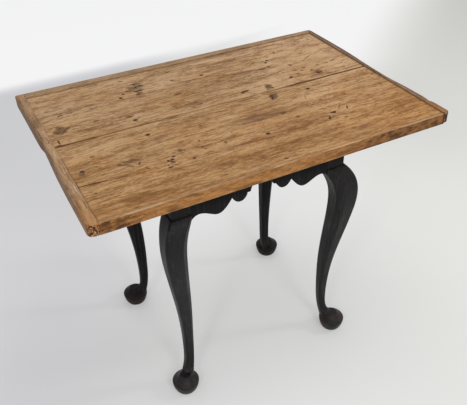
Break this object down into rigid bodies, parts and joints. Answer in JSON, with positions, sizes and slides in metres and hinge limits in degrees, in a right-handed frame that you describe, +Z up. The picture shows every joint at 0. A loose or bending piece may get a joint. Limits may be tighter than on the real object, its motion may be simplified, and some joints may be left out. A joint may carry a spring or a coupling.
{
  "type": "tray top tea table",
  "caption": "Tray top tea table with a scrubbed pine top inside a low worn rim, scalloped aprons and black painted cabriole legs on pad feet.",
  "frame": {"origin": "on the floor under the middle of the top", "axes": "+X along the length of the top to its right end, -Y towards the front long edge, +Z up from the floor"},
  "size_m": [0.831, 0.5669, 0.677],
  "materials": {
    "top_board_front": "scrubbed bare pine",
    "top_board_back": "scrubbed bare pine, greyed",
    "rim_front": "worn waxed pine",
    "rim_back": "worn greyed pine",
    "rim_left": "worn greyed pine",
    "rim_right": "worn greyed pine",
    "apron": "old black paint, satin",
    "leg": "old black paint, satin, rubbed brown at the feet",
    "glue_block": "raw pine, darkened",
    "dowel": "raw birch",
    "joint_peg": "painted over with the posts",
    "nail": "wrought iron, dull",
    "sprig": "wrought iron, dull"
  },
  "bodies": {
    "root": {"top_board_front": "top_board_front", "top_board_back": "top_board_back", "rim_front": "rim_front", "rim_back": "rim_back", "rim_left": "rim_left", "rim_right": "rim_right", "apron_front": "apron", "apron_back": "apron", "apron_left": "apron", "apron_right": "apron", "leg_front_left": "leg", "leg_front_right": "leg", "leg_back_left": "leg", "leg_back_right": "leg", "glue_block_front_left": "glue_block", "glue_block_front_right": "glue_block", "glue_block_back_left": "glue_block", "glue_block_back_right": "glue_block", "glue_block_left": "glue_block", "glue_block_right": "glue_block", "board_dowels": "dowel", "joint_pegs": "joint_peg", "top_nails": "nail", "rim_sprigs": "sprig"}
  },
  "joints": []
}
